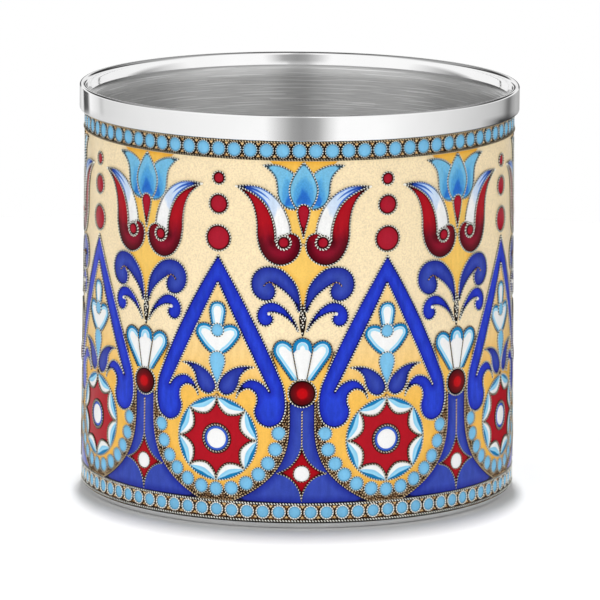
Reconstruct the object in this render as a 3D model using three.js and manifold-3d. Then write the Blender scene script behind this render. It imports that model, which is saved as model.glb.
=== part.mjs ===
// A straight-sided steel whisky tumbler with an enamelled sleeve, in millimetres, +Z up.
// The origin is the middle of the foot's underside, and the tulip of the first panel faces -Y.
import * as THREE from 'three';
import { mergeVertices } from 'three/addons/utils/BufferGeometryUtils.js';
import Module from 'manifold-3d';

const wasm = await Module();
wasm.setup();

// Driving dimensions of the cup
const HEIGHT = 81.8;
const RIM_RADIUS = 44;
const COLLAR_HEIGHT = 5;
const COLLAR_OVERHANG = 1.1; // how far the collar stands proud of the enamel face
const COLLAR_EDGE = 0.6; // rounding of the collar's lower edge
const LIP_THICKNESS = 1.6;
const LIP_ROUNDING = 0.6;
const LIP_BAND = 2.5; // height of the polished band inside the lip
const FLARE = 0.75; // how much wider the enamel face is at the foot than under the collar
const FOOT_HEIGHT = 1.2;
const FOOT_INSET = 1.8; // how far the foot's underside draws in from the enamel face
const FOOT_WIDTH = 5; // width of the flat ring that the cup stands on
const FOOT_SHOULDER = 0.25; // how far the foot's top edge draws in from the enamel face
const PLATE_THICKNESS = 1;
const PLATE_RECESS = 0.4; // how far the base plate lies above the table
const AIR_GAP = 5.2; // space between the base plate and the liner's floor
const LINER_WALL = 0.5;
const LINER_FLOOR = 1.2;
const LINER_CORNER = 4; // rounding between the liner's wall and floor, on the inside

// Driving dimensions of the enamelled sleeve
const SLEEVE_WALL = 0.4;
const GROUND_COAT = 0.25;
const CELL_DEPTH = 0.3; // thickness of the coloured cells on the ground coat
const WIRE_DIAMETER = 0.5;
const BORDER_BAND = 2.65; // height of the bead band between its two wires
const REPEATS = 8;

// Clearances
const SEAT_GAP = 0.2; // between metal parts that are soldered or seated
const LAYER_GAP = 0.1; // between the layers of enamel, and between wires and what they edge

// Smoothness
const SEGMENTS_PER_REPEAT = 6;
const ARC_STEPS = 1;
const CURVE_STEPS = 2;
const ROUNDING_ERROR = 1e-6;

const SEGMENTS = REPEATS * SEGMENTS_PER_REPEAT;

// Heights
const collarLow = HEIGHT - COLLAR_HEIGHT;
const bandLow = HEIGHT - LIP_BAND;
const mouthHigh = bandLow - SEAT_GAP;
const plateTop = PLATE_RECESS + PLATE_THICKNESS;
const floorLow = plateTop + AIR_GAP;
const floorTop = floorLow + LINER_FLOOR;
const enamelLow = FOOT_HEIGHT + SEAT_GAP;
const enamelHigh = collarLow - LAYER_GAP;
const mouthLow = enamelHigh + SEAT_GAP;
const borderHeight = BORDER_BAND + 2 * (WIRE_DIAMETER + LAYER_GAP);
const fieldLow = enamelLow + borderHeight;
const fieldHigh = enamelHigh - borderHeight;

// Radii: each layer of the sleeve lies a fixed depth under the enamel face, which is a slight cone
const faceTop = RIM_RADIUS - COLLAR_OVERHANG;
const faceFoot = faceTop + FLARE;
const faceRadius = (z) => THREE.MathUtils.mapLinear(z, 0, collarLow, faceFoot, faceTop);
const panelRadius = faceRadius((fieldLow + fieldHigh) / 2);
const groundDepth = CELL_DEPTH + LAYER_GAP;
const sleeveDepth = groundDepth + GROUND_COAT + LAYER_GAP;
const linerOuter = faceRadius(enamelHigh) - sleeveDepth - SLEEVE_WALL - SEAT_GAP;
const linerInner = linerOuter - LINER_WALL;
const lipInner = RIM_RADIUS - LIP_THICKNESS;
const mouthOuter = lipInner + LINER_WALL;
const skirtInner = mouthOuter + SEAT_GAP;
const footOuter = faceFoot - FOOT_INSET;
const footInner = footOuter - FOOT_WIDTH;

// Finishes
const finish = (color, roughness, metalness) => new THREE.MeshStandardMaterial({ color, roughness, metalness });
const polishedSteel = finish('#d9dadb', 0.12, 1);
const brushedSteel = finish('#a3a3a5', 0.4, 1);
const copper = finish('#8c5a32', 0.45, 1);
const silverWire = finish('#c9bd9a', 0.35, 1);
const creamEnamel = finish('#fce2b2', 0.25, 0);
const paleBlueEnamel = finish('#7dc3eb', 0.2, 0);
const deepBlueEnamel = finish('#2332be', 0.2, 0);
const midBlueEnamel = finish('#3746aa', 0.2, 0);
const redEnamel = finish('#af192d', 0.2, 0);

const tumbler = new THREE.Group();

function addPiece(name, geometry, material, angle = 0) {
  const mesh = new THREE.Mesh(geometry, material);
  mesh.name = name;
  mesh.rotation.z = angle;
  tumbler.add(mesh);
}

// A solid of revolution about +Z, with the first vertex of every ring at -Y
function turned(profile) {
  return new THREE.LatheGeometry(profile, SEGMENTS).rotateX(Math.PI / 2);
}

// A path's points, without those that rounding leaves beside the one before
function profileOf(path) {
  const points = path.getPoints(ARC_STEPS);
  return points.filter((point, i) => i === 0 || point.distanceTo(points[i - 1]) > ROUNDING_ERROR);
}

function turnedRing(path) {
  const profile = profileOf(path);
  return turned([...profile, profile[0].clone()]);
}

// A ring between two heights that follows the enamel face at a depth under it
function layerRing(depth, thickness, low, high) {
  const path = new THREE.Path();
  path.moveTo(faceRadius(low) - depth - thickness, low);
  path.lineTo(faceRadius(low) - depth, low);
  path.lineTo(faceRadius(high) - depth, high);
  path.lineTo(faceRadius(high) - depth - thickness, high);
  return turnedRing(path);
}

// The lip is thick, and the skirt under it is thin, because the liner's flared mouth sits inside it
function rimCollar() {
  const lipRounding = Math.min(LIP_ROUNDING, LIP_THICKNESS / 2);
  const path = new THREE.Path();
  path.moveTo(skirtInner, collarLow);
  path.lineTo(RIM_RADIUS - COLLAR_EDGE, collarLow);
  path.absarc(RIM_RADIUS - COLLAR_EDGE, collarLow + COLLAR_EDGE, COLLAR_EDGE, -Math.PI / 2, 0);
  path.absarc(RIM_RADIUS - lipRounding, HEIGHT - lipRounding, lipRounding, 0, Math.PI / 2);
  path.absarc(lipInner + lipRounding, HEIGHT - lipRounding, lipRounding, Math.PI / 2, Math.PI);
  path.lineTo(lipInner, bandLow);
  path.lineTo(skirtInner, bandLow);
  return turnedRing(path);
}

// Above the sleeve the liner flares, so that its mouth is flush with the inside of the lip
function linerCup() {
  const outerCorner = LINER_CORNER + LINER_WALL;
  const path = new THREE.Path();
  path.moveTo(0, floorLow);
  path.lineTo(linerOuter - outerCorner, floorLow);
  path.absarc(linerOuter - outerCorner, floorLow + outerCorner, outerCorner, -Math.PI / 2, 0);
  path.lineTo(linerOuter, mouthLow);
  path.lineTo(mouthOuter, mouthHigh);
  path.lineTo(lipInner, mouthHigh);
  path.lineTo(linerInner, mouthLow);
  path.absarc(linerInner - LINER_CORNER, floorTop + LINER_CORNER, LINER_CORNER, 0, -Math.PI / 2, true);
  path.lineTo(0, floorTop);
  return turned(profileOf(path));
}

function footRing() {
  const shoulder = faceRadius(FOOT_HEIGHT) - FOOT_SHOULDER;
  const path = new THREE.Path();
  path.moveTo(footInner, 0);
  path.lineTo(footOuter, 0);
  path.quadraticCurveTo(shoulder, 0, shoulder, FOOT_HEIGHT);
  path.lineTo(footInner, FOOT_HEIGHT);
  return turnedRing(path);
}

function basePlate() {
  const plate = new THREE.CylinderGeometry(
    footInner - SEAT_GAP, footInner - SEAT_GAP, PLATE_THICKNESS, SEGMENTS,
  );
  return plate.rotateX(Math.PI / 2).translate(0, 0, PLATE_RECESS + PLATE_THICKNESS / 2);
}

// A wire ring of square section, edge outwards, that lies on the ground coat
function wireRing(middle) {
  const half = WIRE_DIAMETER / 2;
  const radius = faceRadius(middle) - CELL_DEPTH + half;
  const path = new THREE.Path();
  path.moveTo(radius - half, middle);
  path.lineTo(radius, middle - half);
  path.lineTo(radius + half, middle);
  path.lineTo(radius, middle + half);
  return turnedRing(path);
}

function addBorder(name, low) {
  const beadsLow = low + WIRE_DIAMETER + LAYER_GAP;
  const beadsHigh = beadsLow + BORDER_BAND;
  addPiece(`${name}_border_lower_wire`, wireRing(low + WIRE_DIAMETER / 2), silverWire);
  addPiece(`${name}_bead_band`, layerRing(0, CELL_DEPTH, beadsLow, beadsHigh), copper);
  addPiece(`${name}_border_upper_wire`, wireRing(beadsHigh + LAYER_GAP + WIRE_DIAMETER / 2), silverWire);
}

// The ornament is drawn on a flat panel: across from the motif's own axis, and up from the foot.
// The panel is then stretched to the pitch and to the field between the borders.
const DRAWING_UNIT = 1; // length of one unit of the drawing's coordinates
const PANEL_WIDTH = 34;
const PANEL_LOW = 5.45;
const PANEL_HIGH = 72.75;
const CELL_INSET = 0.25; // half of the wire that edges each cell

const pitch = (2 * Math.PI * panelRadius) / REPEATS;
const acrossScale = pitch / PANEL_WIDTH;

function onPanel(point) {
  const arc = point.x * acrossScale;
  const z = THREE.MathUtils.mapLinear(point.y, PANEL_LOW, PANEL_HIGH, fieldLow, fieldHigh);
  return new THREE.Vector2(panelRadius * Math.sin(arc / panelRadius), z);
}

// One smooth run of an outline through a few points, or a straight line through two
function run(...pairs) {
  const points = pairs.map(([across, up]) => new THREE.Vector2(across, up).multiplyScalar(DRAWING_UNIT));
  if (points.length === 2) return points;
  return new THREE.SplineCurve(points).getPoints(CURVE_STEPS * (points.length - 1));
}

// Joins runs into a half outline from the top of the axis to its foot, and mirrors it
function mirrored(...runs) {
  const half = runs.flat().filter((point, i, all) => i === 0 || !point.equals(all[i - 1]));
  const other = half.filter((point) => point.x > 0).reverse();
  return [...half, ...other.map((point) => new THREE.Vector2(-point.x, point.y))];
}

// Draws a clockwise outline in by a distance, square to both edges at each corner
function drawnIn(outline, distance) {
  return outline.map((point, i) => {
    const before = outline.at(i - 1);
    const after = outline[(i + 1) % outline.length];
    const into = point.clone().sub(before).normalize();
    const out = after.clone().sub(point).normalize();
    const inward = new THREE.Vector2(into.y + out.y, -into.x - out.x).normalize();
    return point.clone().addScaledVector(inward, distance);
  });
}

function solidOf(geometry) {
  const bare = geometry.clone();
  bare.deleteAttribute('normal');
  bare.deleteAttribute('uv');
  const merged = mergeVertices(bare);
  return new wasm.Manifold(new wasm.Mesh({
    numProp: 3,
    vertProperties: new Float32Array(merged.attributes.position.array),
    triVerts: new Uint32Array(merged.index.array),
  }));
}

function geometryOf(solid) {
  const { vertProperties, triVerts } = solid.getMesh();
  const geometry = new THREE.BufferGeometry();
  geometry.setAttribute('position', new THREE.BufferAttribute(vertProperties, 3));
  geometry.setIndex(new THREE.BufferAttribute(triVerts, 1));
  geometry.computeVertexNormals();
  return geometry;
}

const cellLayer = solidOf(layerRing(0, CELL_DEPTH, fieldLow, fieldHigh));

// The part of the cell layer that lies behind a panel outline, seen along +Y
function cell(outline) {
  const shape = new THREE.Shape(drawnIn(outline, CELL_INSET).map(onPanel));
  const prism = new THREE.ExtrudeGeometry(shape, { depth: RIM_RADIUS, bevelEnabled: false });
  return geometryOf(solidOf(prism.rotateX(Math.PI / 2)).intersect(cellLayer));
}

const tulip = mirrored(
  run([0, 72.6], [1.2, 71.4], [1.9, 70.2]),
  run([1.9, 70.2], [4.2, 71.7], [8, 71.85]),
  run([8, 71.85], [5.6, 69.8], [4.9, 65.6], [1.65, 63.4]),
  run([1.65, 63.4], [0, 64.7]),
);

// The two horns of a pair meet in one soldered spot on the panel's axis
const volutes = mirrored(
  run([0, 57.1], [0.8, 57.7], [2.5, 58.9]),
  run([2.5, 58.9], [3.3, 62.2], [6.6, 66.4], [13.4, 67.6]),
  run([13.4, 67.6], [9.9, 64], [9.1, 57.8], [4.7, 52.6], [0.9, 54.7], [0, 55.7]),
);

const scrolls = mirrored(
  run([0, 44.3], [2.55, 49.4], [6.45, 52.1], [10.1, 49], [7.6, 45.8], [5.2, 48.6]),
  run([5.2, 48.6], [2.85, 47.5], [0.8, 42.6]),
  run([0.8, 42.6], [2.4, 43.4], [5.6, 45.05], [8.9, 42.6], [7, 40.5], [5.6, 42.9]),
  run([5.6, 42.9], [2.55, 41.9], [0.5, 38.3]),
  run([0.5, 38.3], [0, 38.3]),
);

const chevron = mirrored(
  run([0, 53.9], [8, 40], [13.1, 28.9]),
  run([13.1, 28.9], [13.4, 23.5], [10.5, 20.5], [7.6, 23.7], [7.9, 26.7], [4, 25.6]),
  run([4, 25.6], [6.75, 29.6], [10.6, 27.3]),
  run([10.6, 27.3], [0, 48.5]),
);

const stem = mirrored(
  run([0, 24.4], [1.5, 24.7], [2.55, 25.6]),
  run([2.55, 25.6], [2.5, 19], [4.9, 12], [13.8, 5.5]),
  run([13.8, 5.5], [0, 5.5]),
);

const ROSETTE_RADIUS = 8.25;
const ROSETTE_MIDDLE = 17.3;
const ROSETTE_SIDES = 20;
const rosette = Array.from({ length: ROSETTE_SIDES }, (_, side) => {
  const angle = (2 * Math.PI * side) / ROSETTE_SIDES;
  return new THREE.Vector2(
    ROSETTE_RADIUS * Math.sin(angle),
    ROSETTE_MIDDLE + ROSETTE_RADIUS * Math.cos(angle),
  );
});

// The tulip's axis and the chevron's axis stand half a panel apart
const motifs = [
  { name: 'tulip', outline: tulip, material: paleBlueEnamel, turn: 0 },
  { name: 'volutes', outline: volutes, material: redEnamel, turn: 0 },
  { name: 'scrolls', outline: scrolls, material: midBlueEnamel, turn: 0 },
  { name: 'stem', outline: stem, material: midBlueEnamel, turn: 0 },
  { name: 'chevron', outline: chevron, material: deepBlueEnamel, turn: 0.5 },
  { name: 'rosette', outline: rosette, material: redEnamel, turn: 0.5 },
];

addPiece('liner_cup', linerCup(), brushedSteel);
addPiece('rim_collar', rimCollar(), polishedSteel);
addPiece('foot_ring', footRing(), polishedSteel);
addPiece('base_plate', basePlate(), brushedSteel);
addPiece('sleeve', layerRing(sleeveDepth, SLEEVE_WALL, enamelLow, enamelHigh), copper);
addPiece('ground_enamel', layerRing(groundDepth, GROUND_COAT, enamelLow, enamelHigh), creamEnamel);
addBorder('lower', enamelLow);
addBorder('upper', fieldHigh);

for (const { name, outline, material, turn } of motifs) {
  const geometry = cell(outline);
  for (let repeat = 0; repeat < REPEATS; repeat++) {
    const angle = (2 * Math.PI * (repeat + turn)) / REPEATS;
    addPiece(`${name}_${repeat + 1}`, geometry, material, angle);
  }
}

export default tumbler;
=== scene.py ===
import math

import bmesh
import bpy
import numpy as np
from mathutils import Matrix, Vector
from mathutils.geometry import delaunay_2d_cdt


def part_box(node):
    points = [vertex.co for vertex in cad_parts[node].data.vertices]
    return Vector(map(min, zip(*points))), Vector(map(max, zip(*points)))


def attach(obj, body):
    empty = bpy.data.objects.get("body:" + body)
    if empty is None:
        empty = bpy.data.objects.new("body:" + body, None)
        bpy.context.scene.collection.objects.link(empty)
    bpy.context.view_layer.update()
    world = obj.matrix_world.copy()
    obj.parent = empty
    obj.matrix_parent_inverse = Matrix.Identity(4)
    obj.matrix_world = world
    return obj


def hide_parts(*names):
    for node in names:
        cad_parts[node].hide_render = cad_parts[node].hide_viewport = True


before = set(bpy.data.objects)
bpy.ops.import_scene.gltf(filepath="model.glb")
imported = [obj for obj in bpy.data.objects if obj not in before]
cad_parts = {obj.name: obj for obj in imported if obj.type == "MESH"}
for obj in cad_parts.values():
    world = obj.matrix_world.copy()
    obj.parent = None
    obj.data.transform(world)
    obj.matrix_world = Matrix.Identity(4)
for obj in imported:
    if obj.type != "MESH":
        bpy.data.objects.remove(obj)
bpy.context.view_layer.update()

# Shapes are worked out in millimetres and stored in metres.
MM = 0.001


def box_mm(node):
    """The two corners of a node's box."""
    low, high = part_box(node)
    return np.array(low) / MM, np.array(high) / MM


# Sizes from the frame
REPEATS = sum(name.startswith("tulip_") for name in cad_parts)
collar_low, collar_high = box_mm("rim_collar")
RIM_RADIUS, HEIGHT, COLLAR_LOW = collar_high[0], collar_high[2], collar_low[2]
liner_low, liner_high = box_mm("liner_cup")
MOUTH_OUTER, LINER_LOW, MOUTH_HIGH = liner_high[0], liner_low[2], liner_high[2]
foot_high = box_mm("foot_ring")[1]
FOOT_SHOULDER, FOOT_HEIGHT = foot_high[0], foot_high[2]
plate_low, plate_high = box_mm("base_plate")
lower_low, lower_high = box_mm("lower_bead_band")
upper_low, upper_high = box_mm("upper_bead_band")
ground_low, ground_high = box_mm("ground_enamel")
FIELD_LOW = box_mm("lower_border_upper_wire")[1][2]
FIELD_HIGH = box_mm("upper_border_lower_wire")[0][2]

# Sizes of the solids that the frame's boxes don't give
LIP_THICKNESS = 1.6
LIP_BAND = 2.5
SEAT_GAP = 0.2
SLEEVE_BUILD = 1.35
LINER_WALL = 0.5
LINER_FLOOR = 1.2
LINER_CORNER = 4.0
FOOT_DRAW_IN = 1.55
FOOT_WIDTH = 5.0

# The collar's roundings, finer than in the solids, and the lean of its inner band, which they don't have
LIP_ROUNDING = 0.45
LIP_LEAN = 0.24
COLLAR_EDGE = 0.3


def face_radius(z):
    """Radius of the enamel face, a slight cone, at a height in millimetres."""
    rise = (z - lower_low[2]) / (upper_low[2] - lower_low[2])
    return lower_high[0] + (upper_high[0] - lower_high[0]) * rise


PANEL_RADIUS = face_radius((FIELD_LOW + FIELD_HIGH) / 2)
PITCH = 2 * math.pi * PANEL_RADIUS / REPEATS

# Heights over the enamel face: where each kind of cell lies, how deep it reaches and how it swells
GROUND_LEVEL = -0.24
FILIGREE_LEVEL = -0.21
FIELD_LEVEL = -0.19
CELL_LEVEL = -0.15
STREAK_LEVEL = -0.065
INLAY_LEVEL = -0.06
DOT_LEVEL = 0.0
CELL_BOTTOM = -0.6
GROUND_BOTTOM = -0.7
SWELL = 0.08
SWELL_REACH = 0.5

# The spacing of points inside a cell and along a line
GRID = 0.6
EDGE_STEP = 0.3

# Twisted wire: the length of a turn, the grooves' share of the radius, and how far the rings lean along it
WIRE_RADIUS = 0.165
WIRE_LIFT = -0.03
TWIST = 0.58
RING_TWIST = 0.5
WIRE_SIDES = 6
GROOVE = 0.5
SLANT = 0.5


def srgb(red, green, blue):
    """A colour as read from a picture, 0 to 255, as the linear colour that shaders take."""
    shares = np.array([red, green, blue]) / 255
    linear = np.where(shares <= 0.04045, shares / 12.92, ((shares + 0.055) / 1.055) ** 2.4)
    return (*linear.tolist(), 1.0)


def grey(value):
    return (value, value, value, 1.0)


class Tree:
    """A material's or the world's nodes, made and linked in one call each."""

    def __init__(self, owner):
        owner.use_nodes = True
        self.nodes, self.links = owner.node_tree.nodes, owner.node_tree.links
        self.nodes.clear()

    def set(self, socket, value):
        if isinstance(value, bpy.types.NodeSocket):
            self.links.new(value, socket)
        else:
            socket.default_value = value

    def add(self, kind, inputs=None, **settings):
        node = self.nodes.new("ShaderNode" + kind)
        for name, value in settings.items():
            setattr(node, name, value)
        for name, value in (inputs or {}).items():
            self.set(node.inputs[name], value)
        return node

    def math(self, operation, a, b=0.0):
        return self.add("Math", {0: a, 1: b}, operation=operation).outputs[0]

    def span(self, value, low, high, to_low=0.0, to_high=1.0, smooth=False):
        """Maps low..high to to_low..to_high and stops at both."""
        kind = "SMOOTHSTEP" if smooth else "LINEAR"
        inputs = {"Value": value, "From Min": low, "From Max": high, "To Min": to_low, "To Max": to_high}
        return self.add("MapRange", inputs, interpolation_type=kind).outputs["Result"]

    def ramp(self, value, stops):
        """Colours by value from 0 to 1, from (place, colour) pairs."""
        node = self.add("ValToRGB", {"Fac": value})
        elements = node.color_ramp.elements
        while len(elements) < len(stops):
            elements.new(1.0)
        for element, (place, colour) in zip(elements, stops):
            element.position, element.color = place, colour
        return node.outputs["Color"]

    def mix(self, share, a, b, blend="MIX"):
        node = self.add("Mix", data_type="RGBA", blend_type=blend)
        for name, value in (("Factor", share), (6, a), (7, b)):
            self.set(node.inputs[name], value)
        return node.outputs[2]

    def place(self, stretch=None):
        """Object coordinates, or the same stretched along each axis."""
        place = self.add("TexCoord").outputs["Object"]
        return self.add("Mapping", {"Vector": place, "Scale": stretch}).outputs[0] if stretch else place

    def parts(self, vector):
        """A vector's X, Y and Z."""
        return self.add("SeparateXYZ", {"Vector": vector}).outputs

    def square_from_axis(self, parts):
        """The square of a place's distance from the cup's axis."""
        return self.math("ADD", *(self.math("MULTIPLY", parts[axis], parts[axis]) for axis in "XY"))

    def noise(self, where, scale=1.0, detail=2.0):
        return self.add("TexNoise", {"Vector": where, "Scale": scale, "Detail": detail}).outputs["Fac"]

    def varied(self, noise, low, high):
        """A noise's usual range mapped to low..high."""
        return self.span(noise, 0.3, 0.7, low, high)

    def bump(self, height, strength, distance):
        inputs = {"Height": height, "Strength": strength, "Distance": distance}
        return self.add("Bump", inputs).outputs["Normal"]

    def measure(self, name):
        """A measure that the piece's mesh carries."""
        return self.add("Attribute", attribute_name=name).outputs["Fac"]

    def surface(self, shader):
        self.links.new(shader.outputs[0], self.add("OutputMaterial").inputs["Surface"])


MATERIALS = {}


def new_material(name, kind=""):
    """The nodes of a new material, which pieces ask for by name."""
    MATERIALS[name] = bpy.data.materials.new(name + kind)
    return Tree(MATERIALS[name])


# Opaque enamels

BRUSH_STROKES = (1100.0, 1100.0, 330.0)
EDGE_START, EDGE_END = 0.15, 0.38


def enamel(
    name, bands, low_bands=None, span=None, grain=0.04, washes=0.05, brush=0.0, ragged=0.0, edge=0.12
):
    """Enamel in bands of (shade, colour), uneven by ragged. Between the two heights of span it changes to
    low_bands, uneven by brush. Edge is the share of its brightness that is left along its wire."""
    tree = new_material(name, "_enamel")
    place, strokes = tree.place(), tree.noise(tree.place(BRUSH_STROKES), detail=3.0)
    shade = tree.measure("shade")
    if ragged:
        shade = tree.math("ADD", shade, tree.varied(strokes, -ragged, ragged))

    def banded(stops):
        reach = max(stops[-1][0], 0.1)
        return tree.ramp(tree.span(shade, 0.0, reach), [(at / reach, srgb(*rgb)) for at, rgb in stops])

    colour = banded(bands)
    if low_bands:
        height = tree.math("ADD", tree.parts(place)["Z"], tree.varied(strokes, -brush * MM, brush * MM))
        share = tree.span(height, span[0] * MM, span[1] * MM, smooth=True)
        colour = tree.mix(share, colour, banded(low_bands))
    grains = tree.varied(tree.noise(place, 3000.0, 1.0), 1 - grain, 1 + grain)
    tones = tree.math("MULTIPLY", grains, tree.varied(strokes, 1 - washes, 1 + washes))
    if edge < 1:
        dimmed = tree.span(tree.measure("depth"), EDGE_START, EDGE_END, edge, 1.0)
        tones = tree.math("MULTIPLY", tones, dimmed)
    colour = tree.mix(1.0, colour, tones, "MULTIPLY")
    tree.surface(tree.add("BsdfPrincipled", {
        "Base Color": colour,
        "Roughness": tree.varied(tree.noise(place, 700.0), 0.12, 0.26),
        "IOR": 1.5,
        "Specular IOR Level": 0.09,
        "Normal": tree.bump(tree.noise(place, 900.0), 0.25, 0.00004),
    }))


def wire_metal(name, stops, metal=0.2):
    """Twisted wire: its shade runs from 0 in the grooves, painted dark as shade and oxide,
    to 1 on the crests, painted bright as highlights.
    """
    tree = new_material(name)
    place = tree.place()
    unevenness = tree.varied(tree.noise(place, 420.0), -0.1, 0.1)
    crest = tree.math("ADD", tree.measure("shade"), unevenness)
    tree.surface(tree.add("BsdfPrincipled", {
        "Base Color": tree.ramp(crest, [(at, srgb(*rgb)) for at, rgb in stops]),
        "Metallic": metal,
        "Specular IOR Level": 0.12,
        "Roughness": tree.varied(tree.noise(place, 1800.0), 0.3, 0.5),
        "Normal": tree.bump(tree.noise(place, 5000.0), 0.3, 0.00003),
    }))


def gilt_metal(name, stops):
    """Gilded copper, darkened in its hollows."""
    tree = new_material(name, "_copper")
    place = tree.place()
    cells = tree.add("TexVoronoi", {"Vector": place, "Scale": 2100.0}).outputs["Distance"]
    patches = tree.noise(place, 900.0, 3.0)
    tone = tree.math("ADD", tree.math("MULTIPLY", cells, 0.6), tree.math("MULTIPLY", patches, 0.7))
    tree.surface(tree.add("BsdfPrincipled", {
        "Base Color": tree.ramp(tone, [(at, srgb(*rgb)) for at, rgb in stops]),
        "Metallic": 0.35,
        "Specular IOR Level": 0.12,
        "Roughness": tree.varied(patches, 0.35, 0.6),
        "Normal": tree.bump(tone, 0.8, 0.0001),
    }))


def polished_steel(name, tone):
    """Steel with a mirror polish and faint turning marks."""
    tree = new_material(name, "_steel")
    hairlines = tree.noise(tree.place((60.0, 60.0, 5200.0)))
    clouds = tree.noise(tree.place(), 90.0)
    tree.surface(tree.add("BsdfPrincipled", {
        "Base Color": tree.ramp(clouds, [(0.3, grey(tone)), (0.7, grey(tone + 0.04))]),
        "Metallic": 1.0,
        "Roughness": tree.varied(hairlines, 0.04, 0.1),
        "Normal": tree.bump(hairlines, 0.05, 0.00001),
    }))


def brushed_steel(name):
    """Steel brushed round the axis, with longer bright scratches among the fine ones."""
    tree = new_material(name, "_steel")
    parts = tree.parts(tree.place())
    turn = tree.math("ARCTAN2", parts["Y"], parts["X"])
    radius = tree.math("POWER", tree.square_from_axis(parts), 0.5)
    along_wall = tree.math("ADD", parts["Z"], radius)

    def lines(round_scale, wall_scale, detail):
        across, down = tree.math("MULTIPLY", turn, round_scale), tree.math("MULTIPLY", along_wall, wall_scale)
        where = tree.add("CombineXYZ", {"X": across, "Y": down}).outputs[0]
        return tree.noise(where, detail=detail)

    fine = lines(8.0, 5000.0, 1.0)
    scratches = tree.span(lines(2.8, 3800.0, 0.0), 0.64, 0.655)
    base = tree.ramp(fine, [(0.3, srgb(210, 210, 210)), (0.7, srgb(232, 232, 231))])
    tree.surface(tree.add("BsdfPrincipled", {
        "Base Color": tree.mix(scratches, base, grey(1.0)),
        "Metallic": 1.0,
        "Roughness": tree.varied(fine, 0.32, 0.4),
        "Anisotropic": 0.95,
        "Anisotropic Rotation": 0.25,
        "Tangent": tree.add("Tangent", direction_type="RADIAL", axis="Z").outputs[0],
        "Normal": tree.bump(fine, 0.15, 0.00003),
    }))


WHITE = (248, 248, 247)
TEAL = (20, 124, 182)
PALE = (160, 220, 246)
BLACK_BROWN = (22, 14, 10)

enamel("cream", [(0, (252, 231, 190))], grain=0.1, washes=0.02, edge=1)
enamel("gold", [(0, (244, 180, 66)), (0.8, (249, 194, 84)), (2.5, (250, 204, 104))], edge=1)
enamel(
    "field", [(0, (249, 206, 128)), (2, (250, 214, 146))],
    [(0, (246, 180, 68)), (2, (249, 194, 88))], span=(38, 24), brush=1.0, edge=1,
)
enamel("bead", [(0, (116, 186, 228)), (0.3, (122, 192, 232)), (1.3, (128, 197, 235))], edge=0.8)
enamel(
    "tulip",
    [(0, (126, 194, 230)), (0.26, (116, 190, 228)), (0.4, (86, 166, 220)), (0.66, (76, 156, 217)),
     (0.8, (46, 120, 206)), (1, (38, 102, 201))],
    grain=0.1, ragged=0.07,
)
enamel(
    "horn_red", [(0, (140, 6, 20)), (0.6, (172, 12, 28)), (2, (180, 16, 32))],
    [(0, (70, 0, 14)), (0.9, (96, 2, 22)), (2, (138, 12, 40))], span=(61, 56), brush=0.8,
)
enamel(
    "horn_white",
    [(0, (22, 48, 150)), (2.6, (36, 76, 180)), (3.8, (150, 188, 238)), (5.2, (200, 222, 248)),
     (9.2, (214, 229, 249)), (9.9, WHITE), (11, WHITE)],
    ragged=0.4,
)
enamel("horn_streak", [(0, (22, 48, 150)), (3, (34, 76, 178)), (7, (78, 136, 222))], edge=1)
enamel("red", [(0, (124, 6, 24)), (0.45, (168, 18, 40)), (1.6, (174, 26, 48))])
enamel(
    "cabochon",
    [(0, (66, 0, 4)), (0.9, (100, 0, 8)), (1.35, (128, 0, 10)), (1.6, (186, 4, 14)), (2.4, (200, 6, 16))],
)
enamel("star", [(0, (130, 2, 14)), (0.8, (172, 4, 22))])
enamel("rosette", [(0, (150, 6, 24)), (0.6, (172, 12, 30)), (2.5, (178, 14, 32))])
enamel("deep_blue", [(0, (18, 24, 148)), (0.5, (28, 46, 184)), (1.6, (38, 66, 206))], washes=0.16)
enamel("mid_blue", [(0, (26, 36, 144)), (0.7, (38, 54, 160)), (1.8, (56, 76, 177))], washes=0.12)
enamel("ring_blue", [(0, (48, 84, 194)), (0.5, (58, 98, 204))])
enamel("white", [(0, (236, 238, 238)), (0.5, WHITE)], grain=0.02, washes=0.01, edge=1)
enamel(
    "banded",
    [(0, TEAL), (0.64, (26, 134, 192)), (0.71, (226, 244, 252)), (0.8, PALE), (1.15, PALE), (1.25, WHITE),
     (1.6, WHITE)],
    grain=0.02, washes=0.02, edge=0.8,
)
enamel(
    "petal",
    [(0, TEAL), (0.27, TEAL), (0.32, PALE), (0.58, (136, 206, 240)), (0.64, WHITE), (1, WHITE)],
    grain=0.02, washes=0.02, edge=0.8,
)
wire_metal("wire", [(0.33, (8, 7, 5)), (0.56, (150, 146, 126)), (0.74, (255, 255, 248))])
wire_metal("dull_wire", [(0.33, (14, 12, 9)), (0.6, (112, 104, 86)), (0.82, (222, 214, 194))])
wire_metal("dark_wire", [(0.3, BLACK_BROWN), (0.6, (74, 60, 44)), (0.8, (184, 170, 142))])
wire_metal("gilt_wire", [(0.25, (20, 13, 8)), (0.5, (136, 104, 68)), (0.72, (236, 214, 174))])
# A near-black colour for thin dark lines laid beside wires
wire_metal("joint", [(0, BLACK_BROWN), (1, (52, 40, 30))])
wire_metal("ring", [(0.05, (112, 98, 76)), (0.5, (254, 251, 240))])
wire_metal("granule", [(0.45, (22, 14, 9)), (0.75, (124, 84, 50)), (1, (244, 214, 166))], metal=0.3)
gilt_metal("filigree", [(0.3, (10, 7, 5)), (0.6, (42, 28, 18)), (0.9, (124, 86, 52))])
gilt_metal("border", [(0.4, (8, 5, 4)), (0.75, (22, 14, 9)), (0.95, (70, 46, 29))])
gilt_metal("gilt", [(0.25, (72, 46, 24)), (0.5, (186, 132, 74)), (0.75, (246, 210, 150))])
polished_steel("polished", 0.95)
# The foot's steel is a little darker than the collar's, as painted shade
polished_steel("foot", 0.92)
brushed_steel("brushed")


# Outlines on the flat panel: across from the motif's own axis and up from the foot, in millimetres

def lengths(line):
    """How far along a line each of its points lies."""
    return np.concatenate([[0], np.cumsum(np.linalg.norm(np.diff(line, axis=0), axis=1))])


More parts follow.
